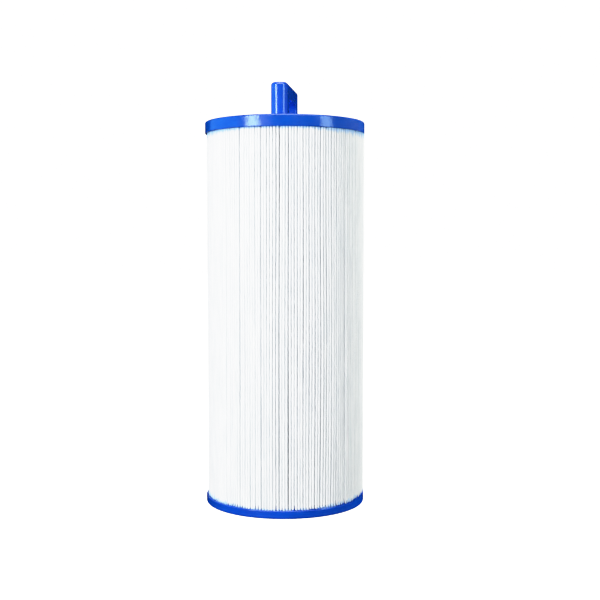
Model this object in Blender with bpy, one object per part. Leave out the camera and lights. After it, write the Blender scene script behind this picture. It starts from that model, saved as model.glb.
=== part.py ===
"""Pleated spa filter cartridge: cast end caps, a carrying handle, a perforated core and a pleat pack.

Run it with blender --background --python part.py, or from the text editor. Lengths are in metres,
+Z is up, and the origin is the centre of the lower end cap's flat underside. Every turned piece
shares the Z axis, and the handle's arch runs along Y.
"""
from math import cos, pi, radians, sin

import bmesh
import bpy

# ---------------------------------------------------------------- driving dimensions
GAP = 0.0003                  # clearance between pieces that touch
BODY_LENGTH = 0.2995          # underside of the lower cap to the rim of the upper cap
ROUND_SEGMENTS = 96           # facets round the end caps
SMALL_SEGMENTS = 48           # facets round the collar, seal and plug

TOP_CAP_RADIUS = 0.0627
TOP_CAP_HEIGHT = 0.0090
TOP_CAP_LAND = 0.0050         # width of the raised rim on the upper face
TOP_CAP_RECESS = 0.0006       # depth of the upper face below that rim
TOP_CAP_FACE = 0.0019         # thickness of the upper face over the handle's foot

BOTTOM_CAP_RADIUS = 0.0627
BOTTOM_CAP_HEIGHT = 0.0063
BOTTOM_CAP_FLOOR = 0.0030
SEAT_RADIUS = 0.0373          # counterbore that takes the collar's flange
SEAT_DEPTH = 0.0018

PLEATS = 170
PLEAT_TIP_RADIUS = 0.0620
PLEAT_VALLEY_RADIUS = 0.0601
PLEAT_INNER_RADIUS = 0.0325
POTTED_RADIUS = 0.0593        # the pack's radius where it sits in the caps

CORE_OUTER_RADIUS = 0.0322
CORE_INNER_RADIUS = 0.0296
CORE_COLUMNS = 10             # windows round the core
CORE_ROWS = 6                 # windows along each half
CORE_SEGMENTS_PER_COLUMN = 3  # one rib and two facets of window
CORE_END_RING = 0.0120
CORE_JOINT_RING = 0.0060
CORE_BAND = 0.0050            # height of the ring between two rows of windows
JOINT_HEIGHT = 0.1470         # where the two halves of the core meet
LAP_LENGTH = 0.0100
LAP_TONGUE_RADIUS = 0.0307

SPIGOT_RADIUS = 0.0292        # what slips inside the core at both ends
COLLAR_BORE_RADIUS = 0.0270
COLLAR_MOUTH_RADIUS = 0.0280
COLLAR_FLANGE_THICKNESS = 0.0012
COLLAR_SHOULDER = 0.0043      # height of the ledge that the core stands on
COLLAR_TOP = 0.0140
GROOVE_RADIUS = 0.0295
GROOVE_BOTTOM = 0.0013
GROOVE_TOP = 0.0033
SEAL_LIP_RADIUS = 0.0260

PLUG_FLANGE = 0.0023
PLUG_SPIGOT_LENGTH = 0.0098
PLUG_WALL = 0.0020

HANDLE_LENGTH = 0.0680        # along Y
HANDLE_THICKNESS = 0.0130     # along X
HANDLE_RISE = 0.0276          # above the upper cap's rim
HANDLE_EDGE = 0.0022          # radius of the rounded upper rim
HANDLE_EDGE_STEPS = 5
FOOT_RADIUS = 0.0460
FOOT_THICKNESS = 0.0018
WINDOW_HALF_WIDTH = 0.0205
WINDOW_RISE = 0.0163          # top of the finger gap above the upper cap's rim
WINDOW_CORNER = 0.0060
WINDOW_EDGE = 0.0012

# ---------------------------------------------------------------- heights that follow from them
CAP_FACE_TOP = BODY_LENGTH - TOP_CAP_RECESS
CAP_FACE_UNDERSIDE = CAP_FACE_TOP - TOP_CAP_FACE
FOOT_TOP = CAP_FACE_UNDERSIDE - GAP
FOOT_UNDERSIDE = FOOT_TOP - FOOT_THICKNESS
PACK_TOP = FOOT_UNDERSIDE - GAP
PLUG_TOP = PACK_TOP
PLUG_SHOULDER = PLUG_TOP - PLUG_FLANGE
CORE_TOP = PLUG_SHOULDER - GAP
CORE_BOTTOM = COLLAR_SHOULDER + GAP
TOP_CAP_BOTTOM = BODY_LENGTH - TOP_CAP_HEIGHT

BLUE = (0.010, 0.095, 0.640)
BRIGHT_BLUE = (0.013, 0.095, 0.720)
FABRIC_WHITE = (0.860, 0.880, 0.890)
PLASTIC_WHITE = (0.800, 0.810, 0.800)
SEAL_GREY = (0.060, 0.065, 0.070)


def clear_scene():
    for obj in list(bpy.data.objects):
        bpy.data.objects.remove(obj, do_unlink=True)


def material(name, colour, roughness):
    """A plain Principled material."""
    mat = bpy.data.materials.new(name)
    mat.use_nodes = True
    shader = mat.node_tree.nodes["Principled BSDF"]
    shader.inputs["Base Color"].default_value = (*colour, 1.0)
    shader.inputs["Roughness"].default_value = roughness
    shader.inputs["Metallic"].default_value = 0.0
    return mat


def finish(bm, name, mat):
    """Turns a bmesh into a named, smooth-shaded object with outward faces."""
    bmesh.ops.recalc_face_normals(bm, faces=bm.faces[:])
    mesh = bpy.data.meshes.new(name)
    bm.to_mesh(mesh)
    bm.free()
    mesh.materials.append(mat)
    mesh.shade_smooth()
    mesh.set_sharp_from_angle(angle=radians(35))
    obj = bpy.data.objects.new(name, mesh)
    bpy.context.scene.collection.objects.link(obj)
    return obj


def as_guide(obj):
    """Keeps a cutter or a joining shape out of the finished object."""
    obj.hide_render = True
    obj.display_type = "WIRE"
    return obj


def boolean(obj, other, operation):
    step = obj.modifiers.new(f"{operation.lower()}_{other.name}", "BOOLEAN")
    step.solver = "EXACT"
    step.operation = operation
    step.object = other


def arc(centre_a, centre_b, radius, start, end, steps):
    """Points on a circle from start to end degrees, both ends included."""
    angles = [radians(start + (end - start) * i / steps) for i in range(steps + 1)]
    return [(centre_a + radius * cos(a), centre_b + radius * sin(a)) for a in angles]


def turned(name, outline, segments, mat):
    """Revolves a (radius, z) outline about Z. An outline that starts and ends at radius 0 is solid."""
    bm = bmesh.new()
    verts = [bm.verts.new((radius, 0.0, z)) for radius, z in outline]
    on_axis = outline[0][0] == 0.0 and outline[-1][0] == 0.0
    pairs = list(zip(verts, verts[1:]))
    if not on_axis:
        pairs.append((verts[-1], verts[0]))
    edges = [bm.edges.new(pair) for pair in pairs]
    bmesh.ops.spin(bm, geom=verts + edges, cent=(0, 0, 0), axis=(0, 0, 1), angle=2 * pi,
                   steps=segments, use_merge=True)
    bmesh.ops.remove_doubles(bm, verts=bm.verts[:], dist=1e-6)
    return finish(bm, name, mat)


def prism(bm, outline, low, high, to_point):
    """Adds a closed prism. to_point places an (a, b) outline point at a distance along the prism."""
    start = [bm.verts.new(to_point(a, b, low)) for a, b in outline]
    end = [bm.verts.new(to_point(a, b, high)) for a, b in outline]
    count = len(outline)
    bm.faces.new(start)
    bm.faces.new(end)
    for i in range(count):
        j = (i + 1) % count
        bm.faces.new((start[i], start[j], end[j], end[i]))
    return end


# ---------------------------------------------------------------- end caps
def top_end_cap(mat):
    """Cast cap: a deep rim round the pack, a closed face, and two slots for the handle's legs."""
    fillet, foot_fillet = 0.0012, 0.0006
    land_inside = TOP_CAP_RADIUS - TOP_CAP_LAND
    pocket = POTTED_RADIUS + GAP
    outline = [(0.0, CAP_FACE_TOP), (land_inside - TOP_CAP_RECESS, CAP_FACE_TOP),
               (land_inside, BODY_LENGTH)]
    outline += arc(TOP_CAP_RADIUS - fillet, BODY_LENGTH - fillet, fillet, 90, 0, 4)
    outline += arc(TOP_CAP_RADIUS - foot_fillet, TOP_CAP_BOTTOM + foot_fillet, foot_fillet, 0, -90, 2)
    outline += [(pocket, TOP_CAP_BOTTOM), (pocket, FOOT_UNDERSIDE),
                (FOOT_RADIUS + GAP, FOOT_UNDERSIDE), (FOOT_RADIUS + GAP, CAP_FACE_UNDERSIDE),
                (0.0, CAP_FACE_UNDERSIDE)]
    cap = turned("top_end_cap", outline, ROUND_SEGMENTS, mat)
    boolean(cap, leg_slots(mat), "DIFFERENCE")
    return cap


def leg_plan(gap):
    """Plan outline of the leg on the +Y side, as (x, y), grown all round by the gap."""
    half = HANDLE_THICKNESS / 2
    end_centre = HANDLE_LENGTH / 2 - half
    inner = WINDOW_HALF_WIDTH - gap
    corner = WINDOW_EDGE + gap
    points = arc(0.0, end_centre, half + gap, 0, 180, 12)
    points += arc(-(half + gap) + corner, inner + corner, corner, 180, 270, 3)
    points += arc(half + gap - corner, inner + corner, corner, 270, 360, 3)
    return points


def leg_slots(mat):
    """Cutter for both slots that the handle's legs pass through."""
    bm = bmesh.new()
    margin = 0.001
    for side in (1, -1):
        prism(bm, leg_plan(GAP), CAP_FACE_UNDERSIDE - margin, CAP_FACE_TOP + margin,
              lambda x, y, z, side=side: (x, side * y, z))
    return as_guide(finish(bm, "leg_slots", mat))


def bottom_end_cap(mat):
    """Cast cap: a shallow rim round the pack, and a stepped hole that takes the outlet collar."""
    edge, lip = 0.0015, 0.0005
    pocket = POTTED_RADIUS + GAP
    outline = arc(BOTTOM_CAP_RADIUS - edge, edge, edge, -90, 0, 5)
    outline += arc(BOTTOM_CAP_RADIUS - lip, BOTTOM_CAP_HEIGHT - lip, lip, 0, 90, 2)
    outline += [(pocket, BOTTOM_CAP_HEIGHT), (pocket, BOTTOM_CAP_FLOOR),
                (PLEAT_INNER_RADIUS, BOTTOM_CAP_FLOOR), (PLEAT_INNER_RADIUS, SEAT_DEPTH),
                (SEAT_RADIUS, SEAT_DEPTH), (SEAT_RADIUS, 0.0)]
    return turned("bottom_end_cap", outline, ROUND_SEGMENTS, mat)


# ---------------------------------------------------------------- handle
def handle(mat):
    """Rigid arch with a round foot. The foot lies under the cap's face and closes the core."""
    half = HANDLE_THICKNESS / 2
    end_centre = HANDLE_LENGTH / 2 - half
    shoulder = BODY_LENGTH + HANDLE_RISE - HANDLE_EDGE
    sections = [(half, FOOT_TOP - FOOT_THICKNESS / 2)]
    for step in range(HANDLE_EDGE_STEPS + 1):
        turn = radians(90 * step / HANDLE_EDGE_STEPS)
        sections.append((half - HANDLE_EDGE * (1 - cos(turn)), shoulder + HANDLE_EDGE * sin(turn)))
    bm = bmesh.new()
    rings = []
    for radius, z in sections:
        stadium = arc(0.0, end_centre, radius, 0, 180, 16) + arc(0.0, -end_centre, radius, 180, 360, 16)
        rings.append([bm.verts.new((x, y, z)) for x, y in stadium])
    bm.faces.new(rings[0])
    bm.faces.new(rings[-1])
    for lower, upper in zip(rings, rings[1:]):
        for i in range(len(lower)):
            bm.faces.new((lower[i - 1], lower[i], upper[i], upper[i - 1]))
    arch = finish(bm, "handle", mat)
    boolean(arch, finger_window(mat), "DIFFERENCE")
    foot = [(0.0, FOOT_TOP), (FOOT_RADIUS, FOOT_TOP), (FOOT_RADIUS, FOOT_UNDERSIDE),
            (0.0, FOOT_UNDERSIDE)]
    boolean(arch, as_guide(turned("foot_disc", foot, SMALL_SEGMENTS, mat)), "UNION")
    return arch


def window_outline(grow):
    """Outline of the finger gap as (y, z), with round upper corners, grown sideways and up."""
    side, top = WINDOW_HALF_WIDTH + grow, BODY_LENGTH + WINDOW_RISE + grow
    corner = WINDOW_CORNER + grow
    floor = FOOT_TOP - FOOT_THICKNESS
    points = [(-side, floor), (side, floor)]
    points += arc(side - corner, top - corner, corner, 0, 90, 5)
    points += arc(corner - side, top - corner, corner, 90, 180, 5)
    return points


def finger_window(mat):
    """Cutter for the finger gap. It flares at both faces, which rounds the gap's edges."""
    half = HANDLE_THICKNESS / 2
    steps = 3
    flare = []
    for i in range(steps + 1):
        angle = pi / 2 * i / steps
        flare.append((half - WINDOW_EDGE * (1 - sin(angle)), WINDOW_EDGE * (1 - cos(angle))))
    flare.append((half + WINDOW_EDGE, WINDOW_EDGE))
    stations = [(-x, grow) for x, grow in reversed(flare)] + flare
    bm = bmesh.new()
    rings = [[bm.verts.new((x, y, z)) for y, z in window_outline(grow)] for x, grow in stations]
    for ring, following in zip(rings, rings[1:]):
        for i in range(len(ring)):
            j = (i + 1) % len(ring)
            bm.faces.new((ring[i], ring[j], following[j], following[i]))
    bm.faces.new(rings[0])
    bm.faces.new(rings[-1])
    return as_guide(finish(bm, "finger_window", mat))


# ---------------------------------------------------------------- pleat pack
def ring_points(bm, radius, z, count):
    """A ring of vertices. A list of radii is used in turn round the ring."""
    radii = radius if isinstance(radius, list) else [radius]
    verts = []
    for i in range(count):
        angle = 2 * pi * i / count
        r = radii[i % len(radii)]
        verts.append(bm.verts.new((r * cos(angle), r * sin(angle), z)))
    return verts


def pleated_media(mat):
    """Closed ring with a tip and a valley for each pleat, stepped in where the caps hold it."""
    sectors = PLEATS // 2
    lower_shoulder = BOTTOM_CAP_HEIGHT + GAP
    upper_shoulder = TOP_CAP_BOTTOM - GAP
    bm = bmesh.new()
    bottom, top = BOTTOM_CAP_FLOOR + GAP, PACK_TOP
    inner = [ring_points(bm, PLEAT_INNER_RADIUS, z, sectors) for z in (bottom, top)]
    potted = [ring_points(bm, POTTED_RADIUS, z, sectors)
              for z in (bottom, lower_shoulder, upper_shoulder, top)]
    teeth = [ring_points(bm, [PLEAT_TIP_RADIUS, PLEAT_VALLEY_RADIUS], z, 2 * PLEATS)
             for z in (lower_shoulder, upper_shoulder)]
    per_sector = len(teeth[0]) // sectors
    for a in range(sectors):
        b = (a + 1) % sectors
        bm.faces.new((inner[0][a], inner[0][b], potted[0][b], potted[0][a]))
        bm.faces.new((inner[1][a], inner[1][b], potted[3][b], potted[3][a]))
        bm.faces.new((inner[0][a], inner[0][b], inner[1][b], inner[1][a]))
        for low in (0, 2):
            bm.faces.new((potted[low][a], potted[low][b], potted[low + 1][b], potted[low + 1][a]))
        tooth = [(per_sector * a + i) % len(teeth[0]) for i in range(per_sector + 1)]
        for ring, edge in zip(teeth, potted[1:3]):
            bm.faces.new([edge[a], edge[b]] + [ring[i] for i in reversed(tooth)])
        for i, j in zip(tooth, tooth[1:]):
            bm.faces.new((teeth[0][i], teeth[0][j], teeth[1][j], teeth[1][i]))
    return finish(bm, "pleated_media", mat)


# ---------------------------------------------------------------- core
def window_heights(bottom, top):
    """Heights of the lower and upper edges of each row of windows, in order."""
    height = (top - bottom - (CORE_ROWS - 1) * CORE_BAND) / CORE_ROWS
    edges = []
    for row in range(CORE_ROWS):
        low = bottom + row * (height + CORE_BAND)
        edges += [low, low + height]
    return edges


def windowed_tube(name, outer, inner, open_spans, mat):
    """Perforated tube from two (radius, z) chains, bottom to top.

    open_spans pairs the index of an outer span with that of the inner span at the same height.
    """
    profile = outer + inner[::-1]
    inner_index = {j: len(profile) - 1 - j for j in range(len(inner))}
    open_faces = {i for i, _ in open_spans} | {inner_index[j + 1] for _, j in open_spans}
    segments = CORE_COLUMNS * CORE_SEGMENTS_PER_COLUMN
    bm = bmesh.new()
    rings = [ring_points(bm, radius, z, segments) for radius, z in profile]
    for s in range(segments):
        t = (s + 1) % segments
        is_rib = s % CORE_SEGMENTS_PER_COLUMN == 0
        for k in range(len(profile)):
            n = (k + 1) % len(profile)
            if is_rib or k not in open_faces:
                bm.faces.new((rings[k][s], rings[k][t], rings[n][t], rings[n][s]))
        if is_rib:
            for i, j in open_spans:
                low, high = inner_index[j], inner_index[j + 1]
                for edge in (s, t):
                    bm.faces.new((rings[i][edge], rings[i + 1][edge], rings[high][edge], rings[low][edge]))
        else:
            for i, j in open_spans:
                for out, into in ((i, inner_index[j]), (i + 1, inner_index[j + 1])):
                    bm.faces.new((rings[out][s], rings[out][t], rings[into][t], rings[into][s]))
    return finish(bm, name, mat)


def core_lower(mat):
    """Lower half: it stands on the collar and ends in a thin tongue inside the upper half."""
    edges = window_heights(CORE_BOTTOM + CORE_END_RING, JOINT_HEIGHT - CORE_JOINT_RING)
    heights = [CORE_BOTTOM] + edges + [JOINT_HEIGHT]
    lap_top = JOINT_HEIGHT + LAP_LENGTH
    outer = [(CORE_OUTER_RADIUS, z) for z in heights]
    outer += [(LAP_TONGUE_RADIUS, JOINT_HEIGHT), (LAP_TONGUE_RADIUS, lap_top)]
    inner = [(CORE_INNER_RADIUS, z) for z in heights[:-1]] + [(CORE_INNER_RADIUS, lap_top)]
    spans = [(i, i) for i in range(1, len(heights) - 1, 2)]
    return windowed_tube("core_lower", outer, inner, spans, mat)


def core_upper(mat):
    """Upper half: a thin skirt outside the lower half's tongue, and a plain ring at the top."""
    skirt_bottom = JOINT_HEIGHT + GAP
    bottom = JOINT_HEIGHT + LAP_LENGTH + GAP
    edges = window_heights(bottom + CORE_JOINT_RING, CORE_TOP - CORE_END_RING)
    heights = edges + [CORE_TOP]
    skirt_inside = LAP_TONGUE_RADIUS + GAP
    outer = [(CORE_OUTER_RADIUS, skirt_bottom)] + [(CORE_OUTER_RADIUS, z) for z in heights]
    inner = [(skirt_inside, skirt_bottom), (skirt_inside, bottom), (CORE_INNER_RADIUS, bottom)]
    inner += [(CORE_INNER_RADIUS, z) for z in heights]
    spans = [(i + 1, i + 3) for i in range(0, len(edges), 2)]
    return windowed_tube("core_upper", outer, inner, spans, mat)


def core_plug(mat):
    """Shallow inverted cup that closes the top of the core."""
    bore = SPIGOT_RADIUS - PLUG_WALL
    spigot_end = PLUG_SHOULDER - PLUG_SPIGOT_LENGTH
    outline = [(0.0, PLUG_TOP), (CORE_OUTER_RADIUS, PLUG_TOP), (CORE_OUTER_RADIUS, PLUG_SHOULDER),
               (SPIGOT_RADIUS, PLUG_SHOULDER), (SPIGOT_RADIUS, spigot_end), (bore, spigot_end),
               (bore, PLUG_SHOULDER), (0.0, PLUG_SHOULDER)]
    return turned("core_plug", outline, SMALL_SEGMENTS, mat)


# ---------------------------------------------------------------- outlet
def outlet_collar(mat):
    """Moulded ring in the lower cap's hole: flange below, spigot in the core, groove for the seal."""
    flange_top = GAP + COLLAR_FLANGE_THICKNESS
    flange_radius = SEAT_RADIUS - GAP
    body_radius = PLEAT_INNER_RADIUS - GAP
    chamfer_top = GROOVE_BOTTOM - GAP
    outline = [(COLLAR_MOUTH_RADIUS, GAP), (flange_radius, GAP), (flange_radius, flange_top),
               (body_radius, flange_top), (body_radius, COLLAR_SHOULDER),
               (SPIGOT_RADIUS, COLLAR_SHOULDER), (SPIGOT_RADIUS, COLLAR_TOP),
               (COLLAR_BORE_RADIUS, COLLAR_TOP), (COLLAR_BORE_RADIUS, GROOVE_TOP),
               (GROOVE_RADIUS, GROOVE_TOP), (GROOVE_RADIUS, GROOVE_BOTTOM),
               (COLLAR_BORE_RADIUS, GROOVE_BOTTOM), (COLLAR_BORE_RADIUS, chamfer_top)]
    return turned("outlet_collar", outline, SMALL_SEGMENTS, mat)


def outlet_seal(mat):
    """Elastomer ring in the collar's groove. Its round lip closes on the pipe."""
    low, high = GROOVE_BOTTOM + GAP, GROOVE_TOP - GAP
    lip = (high - low) / 2
    outline = [(GROOVE_RADIUS - GAP, low), (GROOVE_RADIUS - GAP, high)]
    outline += arc(SEAL_LIP_RADIUS + lip, low + lip, lip, 90, 270, 4)
    return turned("outlet_seal", outline, SMALL_SEGMENTS, mat)


def main():
    clear_scene()
    cap_blue = material("cap_blue", BLUE, 0.30)
    core_white = material("core_white", PLASTIC_WHITE, 0.45)
    top_end_cap(cap_blue)
    bottom_end_cap(cap_blue)
    handle(material("handle_blue", BRIGHT_BLUE, 0.22))
    pleated_media(material("media_white", FABRIC_WHITE, 0.90))
    core_lower(core_white)
    core_upper(core_white)
    core_plug(core_white)
    outlet_collar(core_white)
    outlet_seal(material("seal_grey", SEAL_GREY, 0.60))


main()
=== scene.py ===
"""Looks of the pleated filter cartridge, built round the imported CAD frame. Lengths are in metres."""
from math import cos, exp, pi, radians, sin

import bmesh
import bpy
import numpy as np
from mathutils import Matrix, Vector


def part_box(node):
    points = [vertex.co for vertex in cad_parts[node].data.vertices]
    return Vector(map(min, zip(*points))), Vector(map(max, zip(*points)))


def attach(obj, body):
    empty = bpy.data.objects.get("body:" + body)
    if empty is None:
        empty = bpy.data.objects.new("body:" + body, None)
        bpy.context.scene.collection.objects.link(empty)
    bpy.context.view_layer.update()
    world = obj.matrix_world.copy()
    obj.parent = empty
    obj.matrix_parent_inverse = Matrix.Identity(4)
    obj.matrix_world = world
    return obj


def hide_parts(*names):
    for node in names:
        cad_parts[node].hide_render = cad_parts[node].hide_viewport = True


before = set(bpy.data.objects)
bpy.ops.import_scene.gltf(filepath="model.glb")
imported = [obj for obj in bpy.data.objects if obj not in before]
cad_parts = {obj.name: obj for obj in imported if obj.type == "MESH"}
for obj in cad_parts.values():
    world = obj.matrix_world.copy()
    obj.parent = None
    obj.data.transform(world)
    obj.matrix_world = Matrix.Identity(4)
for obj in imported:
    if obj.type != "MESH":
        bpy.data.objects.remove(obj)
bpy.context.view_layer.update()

MM = 0.001

# ---------------------------------------------------------------- driving dimensions
PLEATS = 170
SHEET_THICKNESS = 0.42 * MM
HALF_SHEET = SHEET_THICKNESS / 2
TIP_FOLD = 0.80 * MM          # radius of a pleat's outer fold, at the middle of the sheet
FOLD_SPREAD = 0.04            # standard deviation of that radius, as a share of it
FOLD_LIMITS = (-0.09, 0.06)
INNER_FOLD = 0.30 * MM
TIP_TURNS = range(180, -1, -30)     # degrees, where an outer fold has its points
INNER_TURNS = (180, 270, 360)
SHEET_LEVELS = 22             # rings of vertices along the sheet's height
SHEET_EMBED = 0.6 * MM        # how far the sheet reaches into each cap
TIP_CLEARANCE = 0.05 * MM     # how far the tips' circle lies inside the CAD's ring of pleats
CORE_CLEARANCE = 0.35 * MM    # between the core and the sheet's inner folds
PACK_OFFSET = 0.70 * MM       # how far the pack's tips are off centre towards +X
LEAST_SLIT = 0.03 * MM        # narrowest slit between two pleats
APART_ROUNDS = 400            # passes that push overlapping neighbours apart
SEAM_PLEAT = 42               # the pleat whose two layers are the sheet's glued ends
SEAM_SUNK = 0.5 * MM          # how far those ends lie below the tips
SEAM_GLUE = 0.04 * MM         # half the glue between them
SHEET_CREASE = 70             # degrees above which an edge of the sheet is shaded sharp
SEED = 203

# How far the pleats stray from even places: a standard deviation, or an amplitude for PAIRED.
SWAY = 0.06 * MM              # sideways, along one pleat
LEAN = 0.28 * MM              # sideways, shared by about LEAN_WIDTH neighbours
LEAN_WIDTH = 2.2
MISPLACED = 0.14 * MM         # sideways, a whole pleat
PAIRED = 0.07 * MM            # sideways, to and fro from one pleat to the next
DIP = 0.12 * MM               # inwards, along one pleat
SUNK = 0.14 * MM              # inwards, a whole pleat
BOW = 0.04 * MM               # of a pleat's two flanks

# Resin that ran between the pleats beside the caps.
FRINGE_EMBED = 0.4 * MM       # how far it reaches into its cap
FRINGE_DEPTH = 3.2 * MM       # how far it reaches in from the tips
FRINGE_PROUD = 0.03 * MM      # how far it stands out of the tips' circle
FRINGE_SKIN = 0.05 * MM       # how far its upper half lies back over a tip
FRINGE_LIP = 0.25 * MM        # how far its upper edge is rounded back
FRINGE_BEND = 0.7             # where it starts to lie back, as a share of its height
FRINGE_CREASE = 60            # degrees above which an edge of it is shaded sharp
RUN_RECESS = 0.65 * MM        # how far it lies back in a slit
RUN_SIDE = 0.66               # where a run's sides are, as a share of a pleat's half width
RUN_SHOULDER = 0.30           # height of its sides, as a share of its middle's
BOTTOM_RUN_LIMIT = 2.2 * MM   # the longest random run at the lower cap
TOP_RUN_LIMIT = 1.6 * MM
# Tall runs of resin between pleats at the lower cap: degrees from -Y towards +X, and height.
TALL_RUNS = ((-62, 2.2 * MM), (-38, 2.4 * MM), (-33, 2.8 * MM), (-29, 2.6 * MM), (-25, 2.2 * MM),
             (-12, 3.6 * MM), (0, 3.0 * MM), (2, 3.8 * MM), (13, 3.2 * MM), (27, 2.2 * MM),
             (45, 3.6 * MM), (53, 3.2 * MM), (62, 3.0 * MM), (69, 2.8 * MM), (140, 3.0 * MM),
             (215, 2.6 * MM))

STAIN_NARROW = 2.2 * MM       # the blue stain beside a cap, in front and behind
STAIN_WIDE = 6.5 * MM         # and at the sides

WELD_DISTANCE = 0.002 * MM
BEVEL_ANGLE = 40              # degrees above which an edge of the CAD is rounded
CAST_EDGE = 0.15 * MM         # radius of the small edges of cast and moulded pieces
HANDLE_EDGE = 0.25 * MM

CAMERA_DISTANCE = 0.824       # from the cartridge's axis, along the floor
CAMERA_HEIGHT = 0.206
CAMERA_AZIMUTH = 8.3          # degrees round from -Y towards +X
CAMERA_YAW = 0.83             # degrees that the camera looks to the right of the axis
CAMERA_PITCH = -3.19
LENS_MM = 62.3
SENSOR_MM = 36.0
LIT_CENTRE = Vector((0, 0, 0.16))   # what the lights face
LIGHT_DISTANCE = 1.25
PANEL = (0.60, 0.80)          # width and height of the usual softbox
SKY = (0.90, 0.955, 0.99, 1.0)
SKY_LOW = 0.12                # strength well below the horizon
SKY_HIGH = 0.50               # and above it
SHOULDER = 0.75               # linear light above which the tone curve bends
WHITE_POINT = 1.6             # linear light that it shows as white
CURVE_STEP = 0.15             # linear light between the curve's points above the shoulder
STAGE_RADIUS = 6.0
STAGE_GLOW = 1.02 * WHITE_POINT
FLOOR_DROP = 0.2 * MM


# ---------------------------------------------------------------- small helpers
def link_object(name, mesh, mat):
    obj = bpy.data.objects.new(name, mesh)
    bpy.context.scene.collection.objects.link(obj)
    mesh.materials.append(mat)
    return obj


def smooth_noise(rng, rows, positions, cycles):
    """One smooth random curve per row along positions from 0 to 1, of unit size."""
    total = np.zeros((rows, len(positions)))
    for cycle in cycles:
        phase = rng.uniform(0, 2 * pi, (rows, 1))
        weight = rng.normal(0, 1, (rows, 1)) / len(cycles) ** 0.5
        total += weight * np.cos(2 * pi * cycle * positions[None, :] + phase)
    return total


def blur_round(values, width):
    """Smooths values round a closed ring, along the first axis, and keeps their size."""
    count = len(values)
    offsets = np.minimum(np.arange(count), count - np.arange(count))
    kernel = np.exp(-0.5 * (offsets / width) ** 2)
    kernel /= np.sqrt((kernel ** 2).sum())
    return np.real(np.fft.ifft(np.fft.fft(values, axis=0) * np.fft.fft(kernel)[:, None], axis=0))


# ---------------------------------------------------------------- materials
class Nodes:
    """A material's node tree with short ways to add and join nodes."""

    def __init__(self, name):
        self.mat = bpy.data.materials.new(name)
        self.mat.use_nodes = True
        self.tree = self.mat.node_tree
        self.shader = self.tree.nodes["Principled BSDF"]

    def add(self, kind, **settings):
        node = self.tree.nodes.new(kind)
        for key, value in settings.items():
            setattr(node, key, value)
        return node

    def join(self, value, socket):
        """Links an output to a socket, or sets the socket to a number or a colour."""
        if isinstance(value, tuple):
            socket.default_value = (*value, 1.0)
        elif isinstance(value, (int, float)):
            socket.default_value = value
        else:
            self.tree.links.new(value, socket)

    def object_coords(self, scale=(1, 1, 1), rotation=(0, 0, 0)):
        coords = self.add("ShaderNodeTexCoord")
        mapping = self.add("ShaderNodeMapping")
        mapping.inputs["Scale"].default_value = scale
        mapping.inputs["Rotation"].default_value = rotation
        self.join(coords.outputs["Object"], mapping.inputs["Vector"])
        return mapping.outputs["Vector"]

    def noise(self, vector, scale, detail=2.0, roughness=0.5):
        node = self.add("ShaderNodeTexNoise")
        node.inputs["Scale"].default_value = scale
        node.inputs["Detail"].default_value = detail
        node.inputs["Roughness"].default_value = roughness
        self.join(vector, node.inputs["Vector"])
        return node.outputs["Fac"]

    def math(self, operation, a, b=0.0):
        node = self.add("ShaderNodeMath", operation=operation)
        for value, socket in zip((a, b), node.inputs):
            self.join(value, socket)
        return node.outputs[0]

    def remap(self, value, from_low, from_high, to_low, to_high):
        node = self.add("ShaderNodeMapRange")
        self.join(value, node.inputs["Value"])
        for key, number in (("From Min", from_low), ("From Max", from_high),
                            ("To Min", to_low), ("To Max", to_high)):
            node.inputs[key].default_value = number
        return node.outputs["Result"]

    def mix(self, factor, colour_a, colour_b):
        node = self.add("ShaderNodeMix", data_type="RGBA")
        self.join(factor, node.inputs["Factor"])
        colour_sockets = [s for s in node.inputs if s.type == "RGBA"]
        for value, socket in zip((colour_a, colour_b), colour_sockets):
            self.join(value, socket)
        return next(s for s in node.outputs if s.type == "RGBA")

    def bump(self, height, distance, strength=1.0, after=None):
        node = self.add("ShaderNodeBump")
        node.inputs["Distance"].default_value = distance
        node.inputs["Strength"].default_value = strength
        self.join(height, node.inputs["Height"])
        if after is not None:
            self.join(after, node.inputs["Normal"])
        return node.outputs["Normal"]


def moulded_blue(name, deep, bright, rough_low, rough_high, peel, waviness, gloss=0.5):
    """Cast or moulded plastic: faint flow marks, soft scuffs, and bumps of orange peel and waves."""
    n = Nodes(name)
    flow = n.noise(n.object_coords(scale=(1, 1, 2.5)), 60, 4, 0.6)
    n.join(n.mix(n.remap(flow, 0.35, 0.68, 0, 1), deep, bright), n.shader.inputs["Base Color"])
    scuff = n.noise(n.object_coords(scale=(1, 1, 6)), 220, 5, 0.65)
    n.join(n.remap(scuff, 0.35, 0.75, rough_low, rough_high), n.shader.inputs["Roughness"])
    fine = n.bump(n.noise(n.object_coords(), 650, 2, 0.5), peel, 0.3)
    wave = n.noise(n.object_coords(), 140, 3, 0.55)
    n.join(n.bump(wave, waviness, 0.5, fine), n.shader.inputs["Normal"])
    n.shader.inputs["Specular IOR Level"].default_value = gloss
    return n.mat


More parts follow.
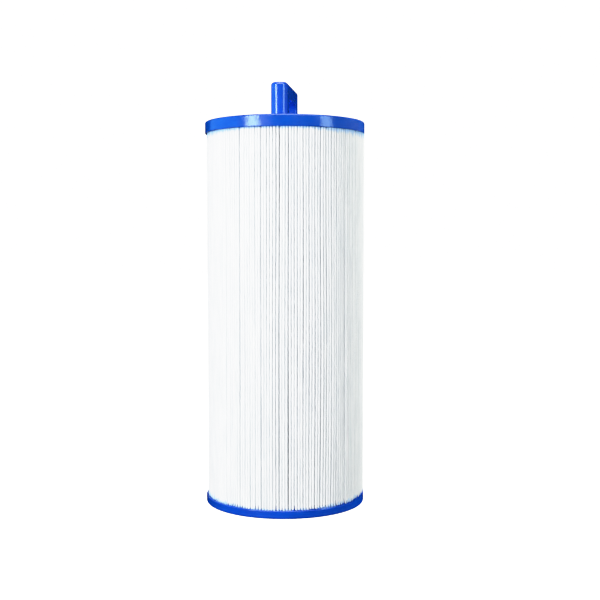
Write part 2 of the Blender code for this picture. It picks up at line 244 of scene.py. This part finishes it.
def spunbond(low_edge, high_edge, radius):
    """White non-woven polyester: crossed fibres, a soft mottle, and a blue stain beside the caps."""
    n = Nodes("spunbond_white")
    fibres = None
    for turn, scale in ((0.5, 1400), (-0.7, 1700), (1.4, 1500)):
        vector = n.object_coords(scale=(1, 1, 0.12), rotation=(turn, 0.3 * turn, 0))
        away = n.math("ABSOLUTE", n.math("SUBTRACT", n.noise(vector, scale, 1), 0.5))
        thread = n.remap(away, 0.0, 0.07, 1.0, 0.0)
        fibres = thread if fibres is None else n.math("MAXIMUM", fibres, thread)
    mottle = n.noise(n.object_coords(scale=(1, 1, 0.15)), 260, 3, 0.6)
    thin, dense = (0.735, 0.767, 0.796), (0.862, 0.875, 0.890)
    bare_thread, stained = (0.90, 0.91, 0.905), (0.16, 0.50, 0.93)
    cloth = n.mix(n.remap(mottle, 0.3, 0.7, 0, 1), thin, dense)
    cloth = n.mix(n.math("MULTIPLY", fibres, 0.35), cloth, bare_thread)

    separate = n.add("ShaderNodeSeparateXYZ")
    n.join(n.object_coords(), separate.inputs[0])
    height = separate.outputs["Z"]
    over_low, under_high = n.math("SUBTRACT", height, low_edge), n.math("SUBTRACT", high_edge, height)
    nearest = n.math("MINIMUM", over_low, under_high)
    sideways = n.math("DIVIDE", n.math("ABSOLUTE", separate.outputs["X"]), radius)
    reach = n.remap(sideways, 0.3, 1.0, STAIN_NARROW, STAIN_WIDE)
    ragged = n.noise(n.object_coords(scale=(1, 1, 0.2)), 420, 2, 0.6)
    spread = n.math("MULTIPLY", reach, n.remap(ragged, 0.3, 0.75, 0.25, 1.2))
    stain = n.math("SUBTRACT", 1.0, n.math("DIVIDE", nearest, spread))
    stain = n.math("MULTIPLY", n.math("MAXIMUM", n.math("MINIMUM", stain, 1.0), 0.0), 0.85)
    n.join(n.mix(stain, cloth, stained), n.shader.inputs["Base Color"])

    n.shader.inputs["Roughness"].default_value = 0.92
    n.shader.inputs["Specular IOR Level"].default_value = 0.15
    n.shader.inputs["Sheen Weight"].default_value = 0.08
    normal = n.bump(fibres, 0.05 * MM, 0.6)
    n.join(n.bump(mottle, 0.025 * MM, 0.6, normal), n.shader.inputs["Normal"])
    return n.mat


def moulded_white():
    """Natural polypropylene of the core and collar: milky, with faint flow marks."""
    n = Nodes("polypropylene_white")
    flow = n.noise(n.object_coords(scale=(1, 1, 3)), 70, 4, 0.6)
    n.join(n.mix(n.remap(flow, 0.35, 0.7, 0, 1), (0.72, 0.74, 0.73), (0.83, 0.84, 0.82)),
           n.shader.inputs["Base Color"])
    n.join(n.remap(n.noise(n.object_coords(), 300, 3, 0.6), 0.3, 0.7, 0.34, 0.52),
           n.shader.inputs["Roughness"])
    n.join(n.bump(n.noise(n.object_coords(), 700), 0.02 * MM, 0.5), n.shader.inputs["Normal"])
    return n.mat


def seal_rubber():
    """Dark elastomer with a dusty bloom."""
    n = Nodes("elastomer_grey")
    bloom = n.noise(n.object_coords(), 500, 4, 0.65)
    n.join(n.mix(n.remap(bloom, 0.4, 0.75, 0, 1), (0.045, 0.05, 0.055), (0.10, 0.105, 0.11)),
           n.shader.inputs["Base Color"])
    n.join(n.remap(bloom, 0.3, 0.7, 0.5, 0.75), n.shader.inputs["Roughness"])
    n.join(n.bump(bloom, 0.03 * MM, 0.6), n.shader.inputs["Normal"])
    return n.mat


def dress_cad_node(name, mat, edge):
    """Gives a CAD node its material, one welded smooth surface and a small moulded edge radius."""
    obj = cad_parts[name]
    for slot in obj.material_slots:
        slot.material = mat
    mesh = obj.data
    if "custom_normal" in mesh.attributes:
        mesh.attributes.remove(mesh.attributes["custom_normal"])
    mesh.polygons.foreach_set("use_smooth", [True] * len(mesh.polygons))
    weld = obj.modifiers.new("weld", "WELD")
    weld.merge_threshold = WELD_DISTANCE
    if edge > 0:
        bevel = obj.modifiers.new("moulded_edges", "BEVEL")
        bevel.limit_method = "ANGLE"
        bevel.angle_limit = radians(BEVEL_ANGLE)
        bevel.width = edge
        bevel.segments = 2
        bevel.use_clamp_overlap = True
    normals = obj.modifiers.new("even_shading", "WEIGHTED_NORMAL")
    normals.keep_sharp = True
    normals.weight = 80


# ---------------------------------------------------------------- pleated sheet
class Pleats:
    """Where each pleat's tip lies at each height: angle, radius and fold arrays of pleats by levels."""

    def __init__(self):
        rng = np.random.default_rng(SEED)
        self.bottom_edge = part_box("bottom_end_cap")[1].z
        self.top_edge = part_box("top_end_cap")[0].z
        self.tip_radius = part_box("pleated_media")[1].x - TIP_CLEARANCE
        self.inner_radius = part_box("core_lower")[1].x + CORE_CLEARANCE
        self.pitch = 2 * pi / PLEATS
        share = np.linspace(0, 1, SHEET_LEVELS)
        low, high = self.bottom_edge - SHEET_EMBED, self.top_edge + SHEET_EMBED
        self.heights = low + (high - low) * share

        wider = FOLD_SPREAD * smooth_noise(rng, PLEATS, share, (0.0, 0.5, 1.3))
        self.fold = TIP_FOLD * (1 + np.clip(wider, *FOLD_LIMITS))
        sway = SWAY * smooth_noise(rng, PLEATS, share, (0.35, 0.8, 1.3))
        lean = LEAN * blur_round(smooth_noise(rng, PLEATS, share, (0.3, 0.6, 1.1)), LEAN_WIDTH)
        fixed = rng.normal(0, MISPLACED, (PLEATS, 1))
        paired = PAIRED * np.cos(pi * np.arange(PLEATS))[:, None]
        offset = (sway + lean + fixed + paired) / self.tip_radius
        self.angle = self.kept_apart(self.pitch * np.arange(PLEATS)[:, None] + offset)
        dip = np.abs(smooth_noise(rng, PLEATS, share, (0.4, 1.2)))
        sunk = np.abs(rng.normal(0, SUNK, (PLEATS, 1)))
        self.radius = self.tip_circle(self.angle) - DIP * dip - sunk
        self.bow = BOW * smooth_noise(rng, 2 * PLEATS, share, (0.5, 1.0))

    def tip_circle(self, angle):
        """Radius of the round outline that the tips touch."""
        return self.tip_radius + PACK_OFFSET * np.cos(angle)

    def kept_apart(self, angle):
        """Pushes neighbours apart until no slit is narrower than the least one."""
        widths = self.fold + np.roll(self.fold, -1, axis=0) + SHEET_THICKNESS + LEAST_SLIT
        least = widths / self.tip_radius
        for _ in range(APART_ROUNDS):
            following = np.roll(angle, -1, axis=0)
            following[-1] += 2 * pi
            overlap = np.maximum(least - (following - angle), 0) / 2
            angle = angle - overlap + np.roll(overlap, 1, axis=0)
        return angle


def polar(radius, angle):
    return np.stack([radius * np.cos(angle), radius * np.sin(angle)], axis=-1)


def fold_points(radius, angle, fold, turns):
    """Points of a fold round a centre at (radius, angle): turns are degrees from the tangent."""
    centre = polar(radius, angle)
    outward = polar(np.ones_like(angle), angle)
    sideways = polar(np.ones_like(angle), angle + pi / 2)
    return [centre + fold[:, None] * (sideways * cos(radians(t)) + outward * sin(radians(t)))
            for t in turns]


def tip_points(pleats, k):
    """Middle line over the k-th tip from the seam. The two ends of the sheet lie back to back there."""
    i = (SEAM_PLEAT + k) % PLEATS
    angle = pleats.angle[i] + 2 * pi * ((SEAM_PLEAT + k) // PLEATS)
    if k in (0, PLEATS):
        apart = np.full_like(angle, HALF_SHEET + SEAM_GLUE)
        return fold_points(pleats.radius[i] - SEAM_SUNK, angle, apart, (0 if k == 0 else 180,))
    centre = pleats.radius[i] - pleats.fold[i] - HALF_SHEET
    return fold_points(centre, angle, pleats.fold[i], TIP_TURNS)


def sheet_path(pleats):
    """Middle line of the sheet at every level, as points by levels by (x, y)."""
    levels = SHEET_LEVELS
    inner_fold = np.full(levels, INNER_FOLD)
    inner_centre = np.full(levels, pleats.inner_radius + INNER_FOLD + HALF_SHEET)
    tips = [tip_points(pleats, k) for k in range(PLEATS + 1)]
    path = []
    for k in range(PLEATS):
        inner_angle = np.full(levels, pleats.pitch * (SEAM_PLEAT + k + 0.5))
        inner = fold_points(inner_centre, inner_angle, inner_fold, INNER_TURNS)
        sideways = polar(np.ones(levels), inner_angle + pi / 2)
        path += tips[k]
        path.append((tips[k][-1] + inner[0]) / 2 + pleats.bow[2 * k][:, None] * sideways)
        path += inner
        path.append((inner[-1] + tips[k + 1][0]) / 2 + pleats.bow[2 * k + 1][:, None] * sideways)
    return np.stack(path + tips[PLEATS])


def strip_faces(corner, along, up, flip):
    """Quads of a strip. corner(a, b) gives the vertex index at place a along it and b up it."""
    a, b = np.meshgrid(np.arange(along), np.arange(up), indexing="ij")
    loop = [corner(a, b), corner(a + 1, b), corner(a + 1, b + 1), corner(a, b + 1)]
    if flip:
        loop.reverse()
    return np.stack([index.ravel() for index in loop], axis=1)


def pleated_sheet(pleats, mat):
    """The media: one sheet with real thickness, folded into every pleat and closed at its seam."""
    path = sheet_path(pleats)
    count, levels, _ = path.shape
    ahead = np.concatenate([path[1:], path[-1:]]) - np.concatenate([path[:1], path[:-1]])
    ahead /= np.linalg.norm(ahead, axis=-1, keepdims=True)
    side = np.stack([ahead[..., 1], -ahead[..., 0]], axis=-1)
    heights = np.broadcast_to(pleats.heights[None, :, None], (count, levels, 1))
    layers = [np.concatenate([path + sign * HALF_SHEET * side, heights], axis=-1) for sign in (1, -1)]
    points = np.concatenate([layer.reshape(-1, 3) for layer in layers])

    def vertex(layer, point, level):
        return (layer * count + point) * levels + level

    last_point, last_level = count - 1, levels - 1
    faces = np.concatenate([
        strip_faces(lambda a, b: vertex(0, a, b), last_point, last_level, False),
        strip_faces(lambda a, b: vertex(1, a, b), last_point, last_level, True),
        strip_faces(lambda a, b: vertex(b, a, 0), last_point, 1, True),
        strip_faces(lambda a, b: vertex(b, a, last_level), last_point, 1, False),
        strip_faces(lambda a, b: vertex(b, 0, a), last_level, 1, False),
        strip_faces(lambda a, b: vertex(b, last_point, a), last_level, 1, True),
    ])
    mesh = bpy.data.meshes.new("media_sheet")
    mesh.from_pydata(points.tolist(), [], faces.tolist())
    mesh.shade_smooth()
    mesh.set_sharp_from_angle(angle=radians(SHEET_CREASE))
    obj = link_object("media_sheet", mesh, mat)
    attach(obj, "root")
    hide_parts("pleated_media")
    return obj


# ---------------------------------------------------------------- resin between the pleats
def resin_fringe(name, pleats, level, direction, cover, climb, tip_mat, slit_shade_mat):
    """Cast resin that wicked up (direction 1) or down (-1) between the pleats beside a cap.

    cover(angle) is how far it covers the tips. climb holds how far it runs along each slit, where
    the resin lies back deeper; its darker colour there is painted shade of the slit.
    """
    edge = pleats.bottom_edge if direction > 0 else pleats.top_edge
    points = []
    for i in range(PLEATS):
        j = (i + 1) % PLEATS
        here = pleats.angle[i, level]
        there = pleats.angle[j, level] + (2 * pi if j == 0 else 0)
        slit_low = here + RUN_SIDE * (pleats.fold[i, level] + HALF_SHEET) / pleats.tip_radius
        slit_high = there - RUN_SIDE * (pleats.fold[j, level] + HALF_SHEET) / pleats.tip_radius
        middle = (slit_low + slit_high) / 2
        for angle, run in ((here, 0.0), (slit_low, RUN_SHOULDER), (middle, 1.0),
                           (slit_high, RUN_SHOULDER)):
            rise = cover(angle) + run * climb[i]
            tip = pleats.tip_circle(angle) + FRINGE_PROUD
            skin = tip - (RUN_RECESS if run else FRINGE_SKIN)
            root = tip - FRINGE_DEPTH
            section = ((tip, -FRINGE_EMBED), (tip, 0.0), (skin, FRINGE_BEND * rise),
                       (skin - FRINGE_LIP, rise), (root, rise), (root, -FRINGE_EMBED))
            for radius, along in section:
                points.append((radius * cos(angle), radius * sin(angle), edge + direction * along))
    ring = len(section)
    samples = len(points) // ring

    def vertex(a, b):
        return a % samples * ring + b % ring

    faces = strip_faces(vertex, samples, ring, direction < 0)
    mesh = bpy.data.meshes.new(name)
    mesh.from_pydata(points, [], faces.tolist())
    mesh.shade_smooth()
    mesh.set_sharp_from_angle(angle=radians(FRINGE_CREASE))
    obj = link_object(name, mesh, tip_mat)
    mesh.materials.append(slit_shade_mat)
    # Faces over the slits take the second, darker material: painted shade of the slits.
    place = np.arange(samples).repeat(ring) % 4
    mesh.polygons.foreach_set("material_index", ((place == 1) | (place == 2)).astype(int).tolist())
    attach(obj, "root")
    return obj


def add_fringes(pleats, shaded_bottom_blue, top_blue, slit_shade_blue):
    """Both fringes. The lower cap's resin stands higher on its +X side."""
    rng = np.random.default_rng(SEED + 1)
    towards_side = np.clip(np.cos(pleats.pitch * (np.arange(PLEATS) + 0.5)), 0, 1)
    bottom_climb = np.minimum(rng.gamma(0.6, 0.9 * MM, PLEATS), BOTTOM_RUN_LIMIT)
    bottom_climb += (0.35 + 0.85 * towards_side) * MM
    for degrees, height in TALL_RUNS:
        bottom_climb[round(radians(degrees - 90) / pleats.pitch) % PLEATS] = height
    top_climb = np.minimum(rng.gamma(0.7, 0.30 * MM, PLEATS), TOP_RUN_LIMIT)

    def bottom_cover(angle):
        side = cos(angle)
        ripple = 0.07 * sin(11 * angle)
        stands_higher = 1 / (1 + exp((0.2 - side) / 0.04))
        brimming = 22 * max(side - 0.88, 0)
        return (0.12 + ripple + (0.75 + 0.50 * side) * stands_higher + brimming) * MM

    def top_cover(angle):
        ripple = 0.06 * sin(7 * angle + 1.1) * sin(4 * angle)
        return (0.12 + ripple) * MM

    resin_fringe("resin_fringe_bottom", pleats, 0, 1, bottom_cover, bottom_climb,
                 shaded_bottom_blue, slit_shade_blue)
    resin_fringe("resin_fringe_top", pleats, SHEET_LEVELS - 1, -1, top_cover, top_climb,
                 top_blue, slit_shade_blue)


# ---------------------------------------------------------------- studio
def all_but(piece):
    """Light-linking collection that makes a light reach everything but one piece."""
    skipped = bpy.data.collections.new("all_but_" + piece.name)
    skipped.objects.link(piece)
    skipped.collection_objects[0].light_linking.link_state = "EXCLUDE"
    return skipped


def softbox(name, azimuth, elevation, size, watts, colour, feeds, receivers=None,
            distance=LIGHT_DISTANCE):
    """Area light that faces the cartridge's middle and feeds either "diffuse" or "gloss".

    Azimuth is in degrees from the camera's side, positive to the camera's right. A light with
    receivers reaches only what that light-linking collection lets it.
    """
    data = bpy.data.lights.new(name, "AREA")
    data.shape = "RECTANGLE"
    data.size, data.size_y = size
    data.energy = watts
    data.color = colour
    obj = bpy.data.objects.new(name, data)
    bpy.context.scene.collection.objects.link(obj)
    around, lift = radians(CAMERA_AZIMUTH + azimuth), radians(elevation)
    direction = Vector((sin(around) * cos(lift), -cos(around) * cos(lift), sin(lift)))
    obj.location = LIT_CENTRE + distance * direction
    obj.rotation_euler = direction.to_track_quat("Z", "Y").to_euler()
    obj.visible_camera = False
    obj.visible_diffuse = feeds == "diffuse"
    obj.visible_glossy = feeds == "gloss"
    obj.light_linking.receiver_collection = receivers


def add_camera():
    data = bpy.data.cameras.new("camera")
    data.lens = LENS_MM
    data.sensor_width = SENSOR_MM
    camera = bpy.data.objects.new("camera", data)
    bpy.context.scene.collection.objects.link(camera)
    around = radians(CAMERA_AZIMUTH)
    camera.location = (CAMERA_DISTANCE * sin(around), -CAMERA_DISTANCE * cos(around), CAMERA_HEIGHT)
    camera.rotation_euler = (radians(90 + CAMERA_PITCH), 0, radians(CAMERA_AZIMUTH - CAMERA_YAW))
    bpy.context.scene.camera = camera


def stage_piece(name, bm, strength, diffuse):
    """A stage piece that only the camera sees, so that it lights nothing and shows in no gloss."""
    mesh = bpy.data.meshes.new(name)
    bm.to_mesh(mesh)
    bm.free()
    n = Nodes(name)
    n.join((diffuse, diffuse, diffuse), n.shader.inputs["Base Color"])
    n.join((1.0, 1.0, 1.0), n.shader.inputs["Emission Color"])
    n.shader.inputs["Roughness"].default_value = 0.9
    n.shader.inputs["Specular IOR Level"].default_value = 0.0
    n.shader.inputs["Emission Strength"].default_value = strength
    obj = link_object(name, mesh, n.mat)
    obj.visible_diffuse = False
    obj.visible_glossy = False
    obj.visible_shadow = False
    return obj


def add_stage():
    bm = bmesh.new()
    bmesh.ops.create_circle(bm, cap_ends=True, radius=STAGE_RADIUS, segments=64)
    stage_piece("floor", bm, STAGE_GLOW, 0.8).location.z = -FLOOR_DROP
    bm = bmesh.new()
    bmesh.ops.create_uvsphere(bm, u_segments=48, v_segments=24, radius=STAGE_RADIUS)
    bmesh.ops.reverse_faces(bm, faces=bm.faces[:])
    stage_piece("backdrop", bm, STAGE_GLOW, 0.0)


def add_sky():
    """Even studio light, dimmer below the horizon, that doesn't show in gloss."""
    world = bpy.data.worlds.new("studio")
    bpy.context.scene.world = world
    world.use_nodes = True
    tree = world.node_tree
    background = tree.nodes["Background"]
    background.inputs["Color"].default_value = SKY
    direction = tree.nodes.new("ShaderNodeTexCoord")
    separate = tree.nodes.new("ShaderNodeSeparateXYZ")
    strength = tree.nodes.new("ShaderNodeMapRange")
    for key, number in (("From Min", -0.25), ("From Max", 0.10),
                        ("To Min", SKY_LOW), ("To Max", SKY_HIGH)):
        strength.inputs[key].default_value = number
    tree.links.new(direction.outputs["Generated"], separate.inputs[0])
    tree.links.new(separate.outputs["Z"], strength.inputs["Value"])
    tree.links.new(strength.outputs["Result"], background.inputs["Strength"])
    world.cycles_visibility.glossy = False


def add_lights(sheet):
    """Diffuse lights for the tones, and windows and walls for the gloss, which skip the matt sheet."""
    no_handle = all_but(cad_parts["handle"])
    softbox("key_light", -38, 9, PANEL, 15.8, (1.0, 0.995, 0.99), "diffuse")
    softbox("front_fill", 18, 4, (0.30, 0.30), 3.3, (1.0, 1.0, 1.0), "diffuse")
    softbox("edge_light", 105, 14, PANEL, 6.5, (0.98, 1.0, 0.89), "diffuse")
    softbox("rim_light", 130, 14, PANEL, 22.0, (1.0, 1.0, 0.90), "diffuse", no_handle)
    softbox("top_light", 10, 78, (0.9, 0.9), 12.0, (1.0, 1.0, 1.0), "diffuse", distance=1.3)
    no_sheet = all_but(sheet)
    softbox("left_window", -45.5, 12, (0.36, 0.80), 17.0, (0.68, 0.98, 1.0), "gloss", no_sheet)
    softbox("left_wall", -98, 12, (1.50, 0.80), 11.0, (0.07, 0.34, 1.0), "gloss", no_sheet)
    softbox("right_window", 59, 12, (0.34, 0.80), 7.5, (0.50, 0.85, 1.0), "gloss", no_sheet)
    softbox("right_wall", 92, 12, PANEL, 0.2, (0.6, 0.8, 1.0), "gloss", no_sheet)
    softbox("high_window", 5, 60, (1.3, 1.3), 36.0, (0.8, 0.92, 1.0), "gloss", no_sheet,
            distance=1.2)


def add_tone_curve():
    """Film-like shoulder: light is shown as it is up to SHOULDER, and then rolls off to white."""
    view = bpy.context.scene.view_settings
    view.view_transform = "Standard"
    view.use_curve_mapping = True
    view.curve_mapping.white_level = (WHITE_POINT, WHITE_POINT, WHITE_POINT)
    points = view.curve_mapping.curves[3].points
    for light in (SHOULDER / 3, 2 * SHOULDER / 3, SHOULDER):
        points.new(light / WHITE_POINT, light)
    room = 1.0 - SHOULDER
    for step in range(1, 5):
        light = SHOULDER + CURVE_STEP * step
        points.new(light / WHITE_POINT, SHOULDER + room * (1 - exp(-(light - SHOULDER) / room)))
    view.curve_mapping.update()


def main():
    add_camera()
    pleats = Pleats()
    top_blue = moulded_blue("top_cap_blue", (0.001, 0.056, 0.440), (0.002, 0.074, 0.530),
                            0.12, 0.26, peel=0.20 * MM, waviness=0.50 * MM)
    # Same cast resin as the upper cap, in a darker copy of its blue: painted shade.
    shaded_bottom_blue = moulded_blue("bottom_cap_blue_painted_shade", (0.001, 0.044, 0.440), (0.002, 0.060, 0.520),
                               0.14, 0.28, peel=0.006 * MM, waviness=0.09 * MM)
    # Darkened blue for the resin in the slits: painted shade of the slits.
    slit_shade_blue = moulded_blue("resin_run_painted_shade", (0.001, 0.012, 0.130), (0.001, 0.020, 0.190),
                              0.20, 0.32, peel=0.006 * MM, waviness=0.0)
    handle_blue = moulded_blue("moulded_handle_blue", (0.003, 0.058, 0.490), (0.005, 0.074, 0.580),
                               0.14, 0.17, peel=0.001 * MM, waviness=0.0, gloss=0.6)
    white = moulded_white()
    dress_cad_node("top_end_cap", top_blue, CAST_EDGE)
    dress_cad_node("bottom_end_cap", shaded_bottom_blue, CAST_EDGE)
    dress_cad_node("handle", handle_blue, HANDLE_EDGE)
    for name in ("core_lower", "core_upper", "core_plug", "outlet_collar"):
        dress_cad_node(name, white, CAST_EDGE)
    dress_cad_node("outlet_seal", seal_rubber(), 0)
    cloth = spunbond(pleats.bottom_edge, pleats.top_edge, pleats.tip_radius)
    sheet = pleated_sheet(pleats, cloth)
    add_fringes(pleats, shaded_bottom_blue, top_blue, slit_shade_blue)
    add_stage()
    add_sky()
    add_lights(sheet)
    add_tone_curve()


main()
